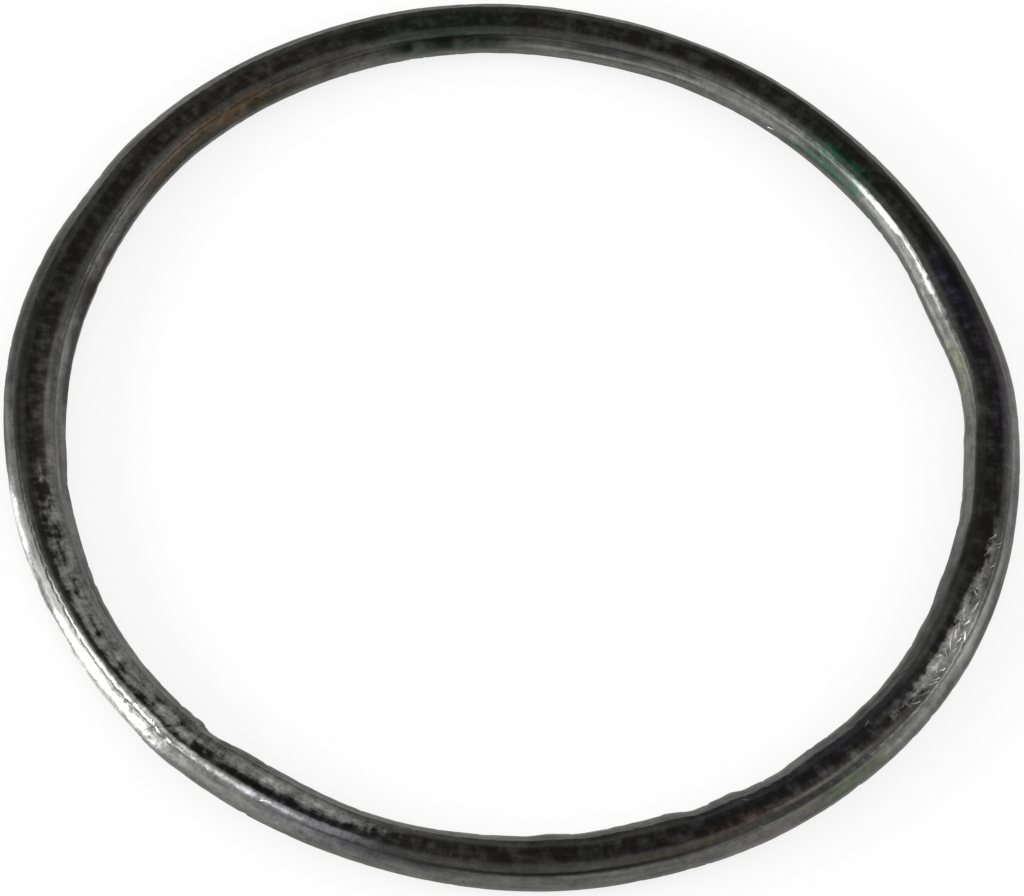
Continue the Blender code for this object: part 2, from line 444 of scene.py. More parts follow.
class Section:
    """The closed outline of the section, from under the ring up its outer side and down its bore's."""

    LAND_STEPS = 5
    RIM_STEPS = 5
    CREASE_STEPS = 4
    FLANK_STEPS = 5

    # How far the rim's steel spreads onto the land's edge, and soot and painted shade to each side of a
    # crease's middle
    RIM_SPREAD = 0.0006
    CREASE_SHADE_SPREAD = 0.0005

    def __init__(self, form):
        self.half_width = form.section_width / 2
        self.half_height = form.section_height / 2
        quarter = self.quarter(form)
        mirrored = [
            *((x, -z, crease) for x, z, crease in quarter),
            *((x, z, crease) for x, z, crease in quarter[-2::-1]),
            *((-x, z, crease) for x, z, crease in quarter[1:]),
            *((-x, -z, crease) for x, z, crease in quarter[-2:0:-1]),
        ]
        self.x, self.z, self.crease = (np.array(values) for values in zip(*mirrored))
        ahead_x, ahead_z = np.roll(self.x, -1), np.roll(self.z, -1)
        steps = np.hypot(ahead_x - self.x, ahead_z - self.z)
        self.perimeter = steps.sum()
        self.share = np.concatenate([[0], np.cumsum(steps)[:-1]]) / self.perimeter
        run_x = ahead_x - np.roll(self.x, 1)
        run_z = ahead_z - np.roll(self.z, 1)
        length = np.hypot(run_x, run_z)
        self.normal_x = run_z / length
        self.normal_z = -run_x / length
        half_land = form.land_width / 2
        rim_end = half_land + form.rim_radius * form.rim_turn
        travel = np.minimum(abs(self.share - 0.5), np.minimum(self.share, 1 - self.share)) * self.perimeter
        self.land = 1 - smoothed((travel - half_land + self.RIM_SPREAD) / self.RIM_SPREAD)
        self.flank = smoothed((travel - rim_end) / form.crease_width)
        self.rim = 1 - self.land - self.flank
        self.shade = fade(travel - rim_end - form.crease_width / 2, self.CREASE_SHADE_SPREAD)

    def quarter(self, form):
        """From the middle of the upper land out and down to mid height: x, z and how far in the crease."""
        points = []
        half_land = form.land_width / 2
        for step in range(self.LAND_STEPS):
            points.append((half_land * step / self.LAND_STEPS, self.half_height, 0.0))
        rim_centre_z = self.half_height - form.rim_radius
        for step in range(self.RIM_STEPS + 1):
            turned = form.rim_turn * step / self.RIM_STEPS
            points.append((half_land + form.rim_radius * math.sin(turned),
                           rim_centre_z + form.rim_radius * math.cos(turned), 0.0))
        start_x, start_z, _ = points[-1]
        run_x = self.half_width - start_x
        run_z = form.wall_height / 2 - start_z
        length = math.hypot(run_x, run_z)
        along_x, along_z = run_x / length, run_z / length

        def beside(travel, outwards, crease):
            return (start_x + along_x * travel - along_z * outwards,
                    start_z + along_z * travel + along_x * outwards, crease)

        for step in range(1, self.CREASE_STEPS):
            share = step / self.CREASE_STEPS
            sunk = math.sin(math.pi * share)
            points.append(beside(form.crease_width * share, -form.crease_depth * sunk, sunk))
        flank = length - form.crease_width
        for step in range(self.FLANK_STEPS + 1):
            share = step / self.FLANK_STEPS
            belly = form.flank_belly * math.sin(math.pi * share)
            points.append(beside(form.crease_width + flank * share, belly, 0.0))
        points.append((self.half_width, 0.0, 0.0))
        return points


class RingSurface:
    """The dressed ring as a grid of stations round the ring by points round the section."""

    # Stations close beside the seam, and how many of its gaps they span
    FINE_STATIONS = 14
    FINE_GAPS = 2

    # The share of the crease that is pressed shut where no soot and painted shade lie in it, and where they
    # do
    CREASE_FILL = 0.95
    SHADED_CREASE_FILL = 0.3

    # How dark the painted shade lies in a clean crease, and the soot and painted shade in a sooty one
    CLEAN_CREASE_SHADE = 0.12
    SOOTY_CREASE_SHADE = 0.80

    # How lumpy a smooth stretch is and what a rough one adds, how much of the lumps and pits a land
    # lacks, the share of its own bars, and the noise at which a pit starts
    SMOOTH_LUMP_SHARE = 0.5
    ROUGH_LUMP_SHARE = 0.8
    LAND_LUMP_LOSS = 0.3
    LAND_PIT_LOSS = 0.5
    LAND_BAR_SHARE = 0.8
    PIT_START = 0.70

    # How far a rim's twist slants over the section and drifts, in twists, and the share of its depth on
    # smooth stretches and on flanks
    TWIST_SLANT = 9
    TWIST_DRIFT = 2
    SMOOTH_TWIST_SHARE = 0.25
    FLANK_TWIST_SHARE = 0.2

    # How many gaps wide the bore's step at the seam is, the share of the seam's depth that its edges
    # lack, and where soot lies in it, as shares of the width from the bore
    STEP_GAPS = 4
    SEAM_EDGE_LOSS = 0.8
    SEAM_SOOT_SHARE = 0.52
    SEAM_SOOT_REACH_SHARE = 0.32

    # The bore's ripples: the share of the broad ones, and the power by which they die out across the ring
    BROAD_RIPPLE_SHARE = 0.7
    RIPPLE_POWER = 2

    # How far the knitting is pulled out of line at most, in rows and in columns, and the share of stray
    # stitches, with the noise over which they come in
    ROW_PULL = 4
    COLUMN_PULL = 1.6
    STRAY_SHARE = 0.008
    STRAY_RAMP = 0.3

    # A power below 1 holds a table's value further out. Noise adds to the least share of a rubbed and highlit
    # place and of a place of stains and painted light.
    PLACE_POWER = 0.6
    RUBBED_AND_HIGHLIT_SHARE = 0.72
    RUBBED_AND_HIGHLIT_NOISE = 0.30
    STAIN_AND_LIGHT_SHARE = 0.55
    STAIN_AND_LIGHT_RAGGEDNESS = 0.7
    STAIN_AND_LIGHT_SPECKLE = 0.3

    def __init__(self, form, surface):
        self.form = form
        self.surface = surface
        self.section = Section(form)
        self.centre_radius = form.bore_diameter / 2 + self.section.half_width
        self.turn_share = self.stations() / FULL_TURN
        turn_share, section_share = self.turn_share[:, None], self.section.share[None, :]
        azimuth = self.azimuth(turn_share)
        outer_soot_and_shade = share_at(azimuth, OUTER_SOOT_AND_SHADE_SHARES)
        bore_soot_and_shade = share_at(azimuth, BORE_SOOT_AND_SHADE_SHARES)
        soot_and_shade = np.clip(np.where(self.section.x[None, :] > 0, outer_soot_and_shade, bore_soot_and_shade), 0, 1)
        # Painted shade in every crease, and soot with painted shade where the tables put it
        self.crease_shade_and_soot = np.maximum(self.section.crease * self.CLEAN_CREASE_SHADE,
                                self.section.shade * self.SOOTY_CREASE_SHADE * soot_and_shade)
        filled = self.CREASE_FILL + (self.SHADED_CREASE_FILL - self.CREASE_FILL) * soot_and_shade
        lifted = form.crease_depth * self.section.crease * filled
        self.hollow = self.relief(turn_share, section_share) - lifted
        self.points = self.placed()
        self.normals = self.facing()

    def stations(self):
        """Turns from the seam, closer together beside it, with one at each quarter turn."""
        quarter = FULL_TURN / 4
        beside_seam = self.form.seam_gap * self.FINE_GAPS / self.centre_radius
        fine = np.linspace(0, beside_seam, self.FINE_STATIONS, endpoint=False)
        coarse = self.surface.stations_per_quarter
        further = np.linspace(beside_seam, quarter, coarse - self.FINE_STATIONS, endpoint=False)
        first = np.concatenate([fine, further])
        plain = np.linspace(0, quarter, coarse, endpoint=False)
        last = FULL_TURN - first[:0:-1]
        return np.concatenate([first, quarter + plain, 2 * quarter + plain, [3 * quarter], last])

    def azimuth(self, turn_share):
        return self.form.seam_angle + turn_share * FULL_TURN

    def relief(self, turn_share, section_share):
        """How far the surface is pressed in, in metres."""
        surface, section = self.surface, self.section

        def noise(name):
            return closed_noise(name, turn_share, section_share)

        rough = np.clip(share_at(self.azimuth(turn_share), ROUGH_SHARES), 0, 1)
        lumpy = self.SMOOTH_LUMP_SHARE + self.ROUGH_LUMP_SHARE * rough
        pits = smoothed((noise("pits") - self.PIT_START) / (1 - self.PIT_START))
        deep = surface.swell_depth * noise("swell")
        deep = deep + surface.lump_depth * noise("lumps") * lumpy * (1 - self.LAND_LUMP_LOSS * section.land)
        deep = deep + surface.lump_depth * self.LAND_BAR_SHARE * noise("bars") * lumpy * section.land
        deep = deep + surface.pit_depth * pits * lumpy * (1 - self.LAND_PIT_LOSS * section.land)
        twist = turn_share * surface.twist_count + section_share * self.TWIST_SLANT
        twist = twist + noise("twist_drift") * self.TWIST_DRIFT
        between_twists = (0.5 - 0.5 * np.cos(FULL_TURN * twist)) ** 2
        twisted = surface.twist_depth * (self.SMOOTH_TWIST_SHARE + (1 - self.SMOOTH_TWIST_SHARE) * rough)
        return deep + between_twists * twisted * (section.rim + self.FLANK_TWIST_SHARE * section.flank)

    def edge_shifts(self, azimuth):
        """How far out the outer edge and the bore's edge stand from a true circle."""
        outer = np.zeros_like(azimuth)
        bore = np.zeros_like(azimuth)
        for place, reach, outer_share, bore_share in DENT_SHARES:
            weight = fade(turn_between(math.radians(place), azimuth), math.radians(reach))
            outer += self.form.squeeze * outer_share * weight
            bore += self.form.squeeze * bore_share * weight
        past_seam = turn_between(self.form.seam_angle, azimuth)
        stepped = self.form.seam_step * fade(past_seam, self.form.seam_reach)
        step_width = self.form.seam_gap * self.STEP_GAPS
        stepped = stepped * smoothed(past_seam * self.centre_radius / step_width + 0.5)
        return outer + stepped / 2, bore + stepped

    def rippled(self, turn_share):
        """How far out the bore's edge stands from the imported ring's, in metres."""
        azimuth = self.azimuth(turn_share)
        broad = closed_noise("broad_ripple", turn_share, 0.0) * self.BROAD_RIPPLE_SHARE
        small = closed_noise("small_ripple", turn_share, 0.0) * (1 - self.BROAD_RIPPLE_SHARE)
        ripple = self.surface.ripple_height * (broad + small - 0.5) * share_at(azimuth, RIPPLE_SHARES)
        return ripple + self.form.squeeze * share_at(azimuth, BORE_SHIFT_SHARES)

    def placed(self):
        """Points of the grid, with the edges out of true and the seam sunk, leant and sooty."""
        form, section = self.form, self.section
        deep = self.hollow + self.surface.inset
        across = section.x[None, :] - section.normal_x[None, :] * deep
        rise = section.z[None, :] - section.normal_z[None, :] * deep
        azimuth = self.azimuth(self.turn_share[:, None])
        from_seam = turn_between(form.seam_angle, azimuth)
        half_turn = form.seam_gap / self.centre_radius / 2
        outer_weight = (across / section.half_width + 1) / 2
        beside_edge = smoothed(np.abs(outer_weight * 2 - 1))
        seam = np.clip(1 - np.abs(from_seam) / half_turn, 0, 1) * (1 - self.SEAM_EDGE_LOSS * beside_edge)
        seam_soot = smoothed(seam) * fade(outer_weight - self.SEAM_SOOT_SHARE, self.SEAM_SOOT_REACH_SHARE)
        self.crease_shade_and_soot = np.maximum(self.crease_shade_and_soot, seam_soot)
        depth = form.seam_depth * seam
        outer, bore = self.edge_shifts(azimuth)
        ripple = self.rippled(self.turn_share[:, None]) * np.clip(1 - outer_weight, 0, 1) ** self.RIPPLE_POWER
        shift = outer * outer_weight + bore * (1 - outer_weight) + ripple
        radius = self.centre_radius + across * (1 - depth / section.half_width) + shift
        leant = math.tan(form.seam_lean) * across / self.centre_radius * fade(from_seam, form.seam_reach)
        azimuth = azimuth - leant
        height = section.half_height + rise * (1 - depth / section.half_height)
        return np.stack([radius * np.cos(azimuth), radius * np.sin(azimuth), height], axis=2)

    def facing(self):
        """Outward normals of the grid."""
        along = np.roll(self.points, -1, axis=0) - np.roll(self.points, 1, axis=0)
        around = np.roll(self.points, -1, axis=1) - np.roll(self.points, 1, axis=1)
        normal = np.cross(along, around)
        return -normal / np.linalg.norm(normal, axis=2, keepdims=True)

    def at(self, turn_share, section_share):
        """Points and outward normals at places between the grid's own."""
        rows, columns = self.hollow.shape
        row = np.interp(turn_share % 1, np.append(self.turn_share, 1), np.arange(rows + 1))
        column = np.interp(section_share % 1, np.append(self.section.share, 1), np.arange(columns + 1))

        def between(grid):
            return looked_up(grid, row, column, lambda share: share[..., None])

        return between(self.points), between(self.normals)

    def wobble(self, turn_share, section_share):
        """How far the knitting is pulled out of line, in rows and in columns."""
        rows = (closed_noise("row_pull", turn_share, section_share) - 0.5) * self.ROW_PULL
        columns = (closed_noise("column_pull", turn_share, section_share) - 0.5) * self.COLUMN_PULL
        return rows, columns

    def nearness(self, turn_share, section_share, azimuth, reach, place, place_reach):
        """How near a point is to a place of a table, from 0 to 1."""
        near = fade(turn_between(math.radians(azimuth), self.azimuth(turn_share)), math.radians(reach))
        return near * fade(section_share - place, place_reach)

    def tabled(self, turn_share, section_share, table):
        """The largest share that a table of places gives at each point."""
        most = 0.0
        for azimuth, reach, place, place_reach, share in table:
            near = self.nearness(turn_share, section_share, azimuth, reach, place, place_reach)
            most = np.maximum(most, share * near ** self.PLACE_POWER)
        return most

    def rubbed_and_highlit(self, turn_share, section_share):
        """How far the steel is rubbed bare and painted bright as a highlight, from 0 to 1."""
        patchy = closed_noise("rubbed_and_highlit_patches", turn_share, section_share)
        drawn = closed_noise("rubbed_and_highlit_streaks", turn_share, section_share)
        share = self.tabled(turn_share, section_share, RUBBED_AND_HIGHLIT)
        return np.clip(share * (self.RUBBED_AND_HIGHLIT_SHARE + self.RUBBED_AND_HIGHLIT_NOISE * (patchy + drawn)), 0, 1)

    def surfaced(self, turn_share, section_share):
        """The share of the stitches that surface."""
        patchy = closed_noise("surfacing", turn_share, section_share)
        stray = self.STRAY_SHARE * smoothed((patchy - 0.5) / self.STRAY_RAMP)
        return stray + self.tabled(turn_share, section_share, SURFACED)

    def stain_and_light_gain(self, turn_share, section_share):
        """What the stains, painted shade and painted highlights multiply the colour's three parts by."""
        ragged = closed_noise("ragged_stain_and_light", turn_share, section_share)
        speckled = closed_noise("speckled_stain_and_light", turn_share, section_share)
        uneven = self.STAIN_AND_LIGHT_SHARE + self.STAIN_AND_LIGHT_RAGGEDNESS * ragged + self.STAIN_AND_LIGHT_SPECKLE * speckled
        gain = np.ones(uneven.shape + (3,))
        for azimuth, reach, place, place_reach, factor in STAINS_AND_PAINTED_LIGHT:
            near = self.nearness(turn_share, section_share, azimuth, reach, place, place_reach)
            near = smoothed(near * uneven)[..., None]
            gain = gain * (1 + near * (np.array(factor) - 1))
        return gain


def mesh_from_grid(name, surface):
    """A closed mesh from the ring's grid, with its maps and the values its finish reads."""
    section = surface.section
    rows, columns = surface.hollow.shape
    corner_rows = np.arange(rows)[:, None, None] + np.array((0, 0, 1, 1))
    corner_columns = np.arange(columns)[None, :, None] + np.array((0, 1, 1, 0))
    faces = corner_rows % rows * columns + corner_columns % columns
    mesh = bpy.data.meshes.new(name)
    mesh.from_pydata(surface.points.reshape(-1, 3), [], faces.reshape(-1, 4))
    mesh.shade_smooth()
    along = np.append(surface.turn_share, 1)[corner_rows]
    across = np.append(section.share, 1)[corner_columns]
    row_pull, column_pull = surface.wobble(along, across)
    add_map(mesh, "StitchMap", along * surface.surface.stitch_rows + row_pull,
            across * surface.surface.stitch_columns + column_pull)
    strip = np.minimum(np.floor(surface.turn_share * MAP_STRIPS), MAP_STRIPS - 1)[:, None, None]
    strip_height = MAP_STRIP_WIDTH * section.perimeter / (FULL_TURN * surface.centre_radius / MAP_STRIPS)
    add_map(mesh, "OFBake", (1 - MAP_STRIP_WIDTH) / 2 + MAP_STRIP_WIDTH * (along * MAP_STRIPS - strip),
            (strip + 0.5) / MAP_STRIPS + strip_height * (across - 0.5))
    zones = np.stack([section.land, section.rim, section.flank], axis=1)
    plain_turn = surface.turn_share[:, None]
    plain_section = section.share[None, :]
    add_values(mesh, "zones", "FLOAT_VECTOR", np.broadcast_to(zones[None], (rows, columns, 3)))
    add_values(mesh, "stain_and_light", "FLOAT_VECTOR", surface.stain_and_light_gain(plain_turn, plain_section))
    add_values(mesh, "rubbed_and_highlit", "FLOAT", surface.rubbed_and_highlit(plain_turn, plain_section))
    add_values(mesh, "crease_shade_and_soot", "FLOAT", surface.crease_shade_and_soot)
    low, high = surface.hollow.min(), surface.hollow.max()
    add_values(mesh, "hollow", "FLOAT", (surface.hollow - low) / (high - low))
    return mesh


def add_map(mesh, name, along, across):
    layer = mesh.uv_layers.new(name=name)
    pairs = np.stack(np.broadcast_arrays(along, across), axis=-1)
    layer.uv.foreach_set("vector", pairs.astype(np.float32).ravel())


def add_values(mesh, name, kind, values):
    attribute = mesh.attributes.new(name, kind, "POINT")
    field = "vector" if kind == "FLOAT_VECTOR" else "value"
    attribute.data.foreach_set(field, np.ascontiguousarray(values, dtype=np.float32).ravel())


class Value:
    """A number or colour that varies over a surface. Arithmetic on a number adds Math nodes to its finish."""

    def __init__(self, finish, socket):
        self.finish = finish
        self.socket = socket

    def maths(self, operation, *values):
        names = ("Value", "Value_001", "Value_002")
        return self.finish.node("ShaderNodeMath", {"operation": operation}, dict(zip(names, values)))

    def __add__(self, other):
        return self.maths("ADD", self, other)

    __radd__ = __add__

    def __sub__(self, other):
        return self.maths("SUBTRACT", self, other)

    def __rsub__(self, other):
        return self.maths("SUBTRACT", other, self)

    def __mul__(self, other):
        return self.maths("MULTIPLY", self, other)

    __rmul__ = __mul__

    def __truediv__(self, other):
        return self.maths("DIVIDE", self, other)

    def __rtruediv__(self, other):
        return self.maths("DIVIDE", other, self)

    def __abs__(self):
        return self.maths("ABSOLUTE", self)

    def part(self):
        """What is left past the whole number below."""
        return self.maths("FRACT", self)

    def root(self):
        return self.maths("SQRT", self)

    def most(self, other):
        """The larger of two values."""
        return self.maths("MAXIMUM", self, other)

    def between(self, low, high):
        """Eases from 0 at the low value to 1 at the high one."""
        return self.finish.node("ShaderNodeMapRange", {"interpolation_type": "SMOOTHSTEP"},
                                {"Value": self, "From Min": low, "From Max": high})

    def tinted(self, other):
        """This colour multiplied by another."""
        return self.finish.node("ShaderNodeVectorMath", {"operation": "MULTIPLY"},
                                {"Vector": self, "Vector_001": other})

    def scaled(self, amount):
        """This colour made lighter or darker by an amount."""
        return self.finish.node("ShaderNodeVectorMath", {"operation": "SCALE"},
                                {"Vector": self, "Scale": amount})


class Finish:
    """A node tree under construction."""

    def __init__(self, tree):
        self.tree = tree
        tree.nodes.clear()

    def node(self, kind, settings=(), sockets=(), output=None):
        """Adds a node: its settings first, then the values or links of its sockets."""
        made = self.tree.nodes.new(kind)
        for name, value in dict(settings).items():
            setattr(made, name, value)
        inputs = {socket.identifier: socket for socket in made.inputs}
        for name, value in dict(sockets).items():
            if isinstance(value, Value):
                self.tree.links.new(value.socket, inputs[name])
            else:
                inputs[name].default_value = value
        outputs = {socket.identifier: socket for socket in made.outputs}
        if not outputs:
            return None
        return Value(self, outputs[output] if output else made.outputs[0])

    def attribute(self, name, output="Fac"):
        """What the mesh holds under that name."""
        return self.node("ShaderNodeAttribute", {"attribute_name": name}, {}, output)

    def split(self, vector):
        """The three numbers of a vector."""
        apart = self.node("ShaderNodeSeparateXYZ", {}, {"Vector": vector}).socket.node
        return [Value(self, socket) for socket in apart.outputs]

    def blend(self, first, second, share):
        """The first colour at a share of 0, the second at 1."""
        return self.node("ShaderNodeMix", {"data_type": "RGBA"},
                         {"Factor_Float": share, "A_Color": first, "B_Color": second}, "Result_Color")

    def grain(self, place, per_metre, detail=2.0):
        """Noise about 0.5, with that many of its coarsest lumps to the metre."""
        return self.node("ShaderNodeTexNoise", {},
                         {"Vector": place, "Scale": per_metre, "Detail": detail, "Roughness": 0.6}, "Fac")

    def streaks(self, place, seed_shift, along, across):
        """Noise drawn out along the ring: lumps to the metre along it and up or across it."""
        x, y, z = self.split(place)
        from_axis = (x * x + y * y).root()
        reach = along * (CAD_HIGH.x - CAD_LOW.x) / 2
        drawn = self.node("ShaderNodeCombineXYZ", {},
                          {"X": x / from_axis * reach, "Y": y / from_axis * reach, "Z": z * across})
        return self.node("ShaderNodeTexNoise", {"noise_dimensions": "4D"},
                         {"Vector": drawn, "W": from_axis * across + seed_shift, "Scale": 1.0, "Detail": 3.0,
                          "Roughness": 0.6}, "Fac")


def opaque(colour):
    return (*colour, 1.0)


def new_finish(name):
    material = bpy.data.materials.new(name)
    material.use_nodes = True
    return material, Finish(material.node_tree)


def pressed_finish(colours):
    """Graphite on the lands, steel on the rims, greyed wire on the flanks, soot and painted shade in the
    creases, and painted shade in the hollows.
    """
    material, finish = new_finish("graphite_and_pressed_wire")
    place = finish.node("ShaderNodeTexCoord", {}, {}, "Object")
    land, rim, flank = finish.split(finish.attribute("zones", "Vector"))
    hollow = finish.attribute("hollow")
    rubbed_and_highlit = finish.attribute("rubbed_and_highlit")
    crease_shade_and_soot = finish.attribute("crease_shade_and_soot")
    row, column, _ = finish.split(finish.node("ShaderNodeUVMap", {"uv_map": "StitchMap"}))

    blotches = finish.grain(place, per_metre=620.0)
    mottle = finish.grain(place, per_metre=1250.0, detail=3.0)
    fine = finish.grain(place, per_metre=2800.0, detail=3.0)
    drawn = finish.streaks(place, seed_shift=0.0, along=420.0, across=2300.0)
    long_drawn = finish.streaks(place, seed_shift=7.0, along=110.0, across=1500.0)

    from_middle = abs((column.part() - 0.5) * 2)
    strand = 1 - abs(((row - from_middle * STITCH_LEAN).part() - 0.5) * 2)
    shown = finish.grain(place, per_metre=330.0)
    wire = strand.between(low=0.25, high=0.75) * shown.between(low=0.45, high=0.70)

    # Hollows take less of each lighter coat, here and in the bare steel below: painted shade, with graphite
    # in the pits
    thinned = (blotches * 0.4 + mottle * 0.5 + drawn * 0.3 - hollow * 0.2).between(low=0.42, high=0.80)
    cleared = (long_drawn * 0.7 + mottle * 0.4 - hollow * 0.3 + wire * 0.08).between(low=0.22, high=0.70)
    greyed = (long_drawn * 0.6 + drawn * 0.3 + blotches * 0.3 - hollow * 0.3).between(low=0.28, high=0.68)
    dark = finish.blend(opaque(colours.graphite_and_top_shade), opaque(colours.smeared), thinned)
    steel = finish.blend(opaque(colours.smeared), opaque(colours.rim), cleared)
    grey = finish.blend(opaque(colours.rim), opaque(colours.flank), greyed)
    skin = finish.blend(steel, dark, land)
    skin = finish.blend(skin, grey, flank)
    # Soot and painted shade darken the creases towards graphite
    skin = finish.blend(skin, opaque(colours.graphite_and_top_shade), crease_shade_and_soot.between(low=0.05, high=0.95))
    patchy = (drawn * 1.4 + mottle * 1.1 + blotches * 1.1 - PATCH_MIDDLE) * (WHOLE_RUBBING_AND_HIGHLIGHT - rubbed_and_highlit)
    patchy = patchy * (land * LAND_PATCH_SHARE + FLANK_PATCH_SHARE)
    # Bright bare steel where the steel is rubbed, and painted on as highlights where the lamps would glint
    bare_and_highlit = rubbed_and_highlit * (patchy + fine * 0.4 - hollow * 0.4 + rubbed_and_highlit * 0.45 + BARE_AND_HIGHLIT_START)
    skin = finish.blend(skin, opaque(colours.flank), bare_and_highlit.between(low=0.08, high=0.42))
    skin = finish.blend(skin, opaque(colours.bare_steel_and_highlight), bare_and_highlit.between(low=0.38, high=0.98))
    # Stains, painted shade and painted highlights multiply the colour
    skin = skin.tinted(finish.attribute("stain_and_light", "Vector")).scaled((fine - 0.5) * GRAIN_SHADE + 1)

    rough = SKIN_ROUGHNESS - rim * 0.10 - bare_and_highlit * 0.16 + (fine - 0.5) * 0.30
    height = (wire * (1 - rubbed_and_highlit * 2).most(0) * 0.2 + fine * 0.7 + drawn * 0.8) * (1 - rubbed_and_highlit * 0.5)
    bump = finish.node("ShaderNodeBump", {}, {"Height": height, "Distance": SKIN_BUMP, "Strength": 0.8})
    shader = finish.node("ShaderNodeBsdfPrincipled", {},
                         {"Base Color": skin, "Metallic": 0.9, "Roughness": rough, "Specular IOR Level": 0.3,
                          "Normal": bump})
    finish.node("ShaderNodeOutputMaterial", {}, {"Surface": shader})
    return material


def wire_finish(colours):
    """Steel wire, dulled by graphite, and bright where it is rubbed and where a highlight is painted on it.
    """
    material, finish = new_finish("surfaced_steel_wire")
    place = finish.node("ShaderNodeTexCoord", {}, {}, "Object")
    fine = finish.grain(place, per_metre=2600.0, detail=3.0)
    patches = finish.grain(place, per_metre=500.0)
    worn_and_highlit = finish.attribute("tone") * (fine * 0.9 + patches * 0.9 + 0.1)
    colour = finish.blend(opaque(colours.graphite_and_top_shade), opaque(colours.flank), worn_and_highlit.between(low=0.03, high=0.45))
    colour = finish.blend(colour, opaque(colours.bare_steel_and_highlight), worn_and_highlit.between(low=0.35, high=0.95))
    colour = colour.tinted(finish.attribute("stain_and_light", "Vector"))
    bump = finish.node("ShaderNodeBump", {}, {"Height": fine, "Distance": WIRE_BUMP, "Strength": 0.6})
    shader = finish.node("ShaderNodeBsdfPrincipled", {},
                         {"Base Color": colour, "Metallic": 0.95, "Roughness": WIRE_ROUGHNESS - worn_and_highlit * 0.14,
                          "Normal": bump})
    finish.node("ShaderNodeOutputMaterial", {}, {"Surface": shader})
    return material


def stitch_mesh(name, surface):
    """The arms of the stitches that surface: flattened wires, tapered where they dive back under."""
    marks = surface.surface
    rows, columns = marks.stitch_rows, marks.stitch_columns
    row, column, side = np.meshgrid(np.arange(rows), np.arange(columns), (-1, 1), indexing="ij")
    row, column, side = row.ravel(), column.ravel(), side.ravel()
    middle_turn = (row + 0.5 + STITCH_LEAN / 2) / rows
    middle_section = (column + 0.5 + side / 4) / columns
    chance = np.random.default_rng(STITCH_SEED).random((5, row.size))
    kept = surface.surfaced(middle_turn, middle_section) > chance[0]
    row, column, side = row[kept, None], column[kept, None], side[kept, None]
    length_chance, width_chance, stray_chance, tone_chance = chance[1:, kept, None]

    steps = np.linspace(0.0, 1.0, STRAND_POINTS)
    reach = 0.5 + (steps - 0.5) * (LENGTH_SHARES[0] + LENGTH_SHARES[1] * length_chance)
    wanted_row = row + 0.5 + STITCH_LEAN * reach + (stray_chance - 0.5) * STITCH_STRAY
    wanted_column = column + 0.5 + side * (reach / 2 + STITCH_BOW * np.sin(math.pi * steps))
    row_pull, column_pull = surface.wobble(wanted_row / rows, wanted_column / columns)
    turn_share = (wanted_row - row_pull) / rows
    section_share = (wanted_column - column_pull) / columns
    centre, normal = surface.at(turn_share, section_share)
    along = np.gradient(centre, axis=1)
    along /= np.linalg.norm(along, axis=2, keepdims=True)
    across = np.cross(normal, along)
    across /= np.linalg.norm(across, axis=2, keepdims=True)

    taper = np.sin(math.pi * (TAPER_START_SHARE + (1 - 2 * TAPER_START_SHARE) * steps)) ** TAPER_POWER
    width = marks.strand_width / 2 * (WIDTH_SHARES[0] + WIDTH_SHARES[1] * width_chance) * taper
    rise = marks.strand_rise * taper
    sides = (np.linspace(0, FULL_TURN, STRAND_SIDES, endpoint=False) + FULL_TURN / 4)[:, None]
    sideways = width[:, :, None, None] * np.cos(sides)
    upwards = rise[None, :, None, None] * (np.sin(sides) * (1 + SUNK_SHARE) - SUNK_SHARE)
    ring = centre[:, :, None] + across[:, :, None] * sideways + normal[:, :, None] * upwards
    count = row.size
    vertex = np.arange(count * STRAND_POINTS * STRAND_SIDES).reshape(count, STRAND_POINTS, STRAND_SIDES)
    beside = np.roll(vertex, -1, axis=2)
    walls = np.stack([vertex[:, :-1], beside[:, :-1], beside[:, 1:], vertex[:, 1:]], axis=3).reshape(-1, 4)
    ends = [*vertex[:, 0, ::-1].tolist(), *vertex[:, -1].tolist()]
    mesh = bpy.data.meshes.new(name)
    mesh.from_pydata(ring.reshape(-1, 3), [], [*walls.tolist(), *ends])
    mesh.shade_smooth()
    section_share = section_share % 1
    stain_and_light = surface.stain_and_light_gain(turn_share, section_share)
    rim_or_flank = np.interp(section_share, surface.section.share, 1 - surface.section.land)
    # Rubbed wires, and wires in a painted highlight, are brighter
    tone = LAND_TONE + FLANK_TONE * rim_or_flank + RUBBED_AND_HIGHLIT_TONE * surface.rubbed_and_highlit(turn_share, section_share)
    tone = tone * (TONE_SHARES[0] + TONE_SHARES[1] * tone_chance)
    add_values(mesh, "stain_and_light", "FLOAT_VECTOR", np.repeat(stain_and_light[:, :, None, :], STRAND_SIDES, axis=2))
    add_values(mesh, "tone", "FLOAT", np.repeat(tone[:, :, None], STRAND_SIDES, axis=2))
    return mesh


def ring_surface(scene):
    return RingSurface(scene.gasket_form, scene.pressed_surface)


def linked(name, data):
    """A new object in the scene."""
    made = bpy.data.objects.new(name, data)
    bpy.context.scene.collection.objects.link(made)
    return made


def added_piece(name, mesh, material):
    """Puts a mesh in the scene as a piece that moves with the ring's body."""
    mesh.materials.append(material)
    piece = linked(name, mesh)
    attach(piece, "root")
    return piece


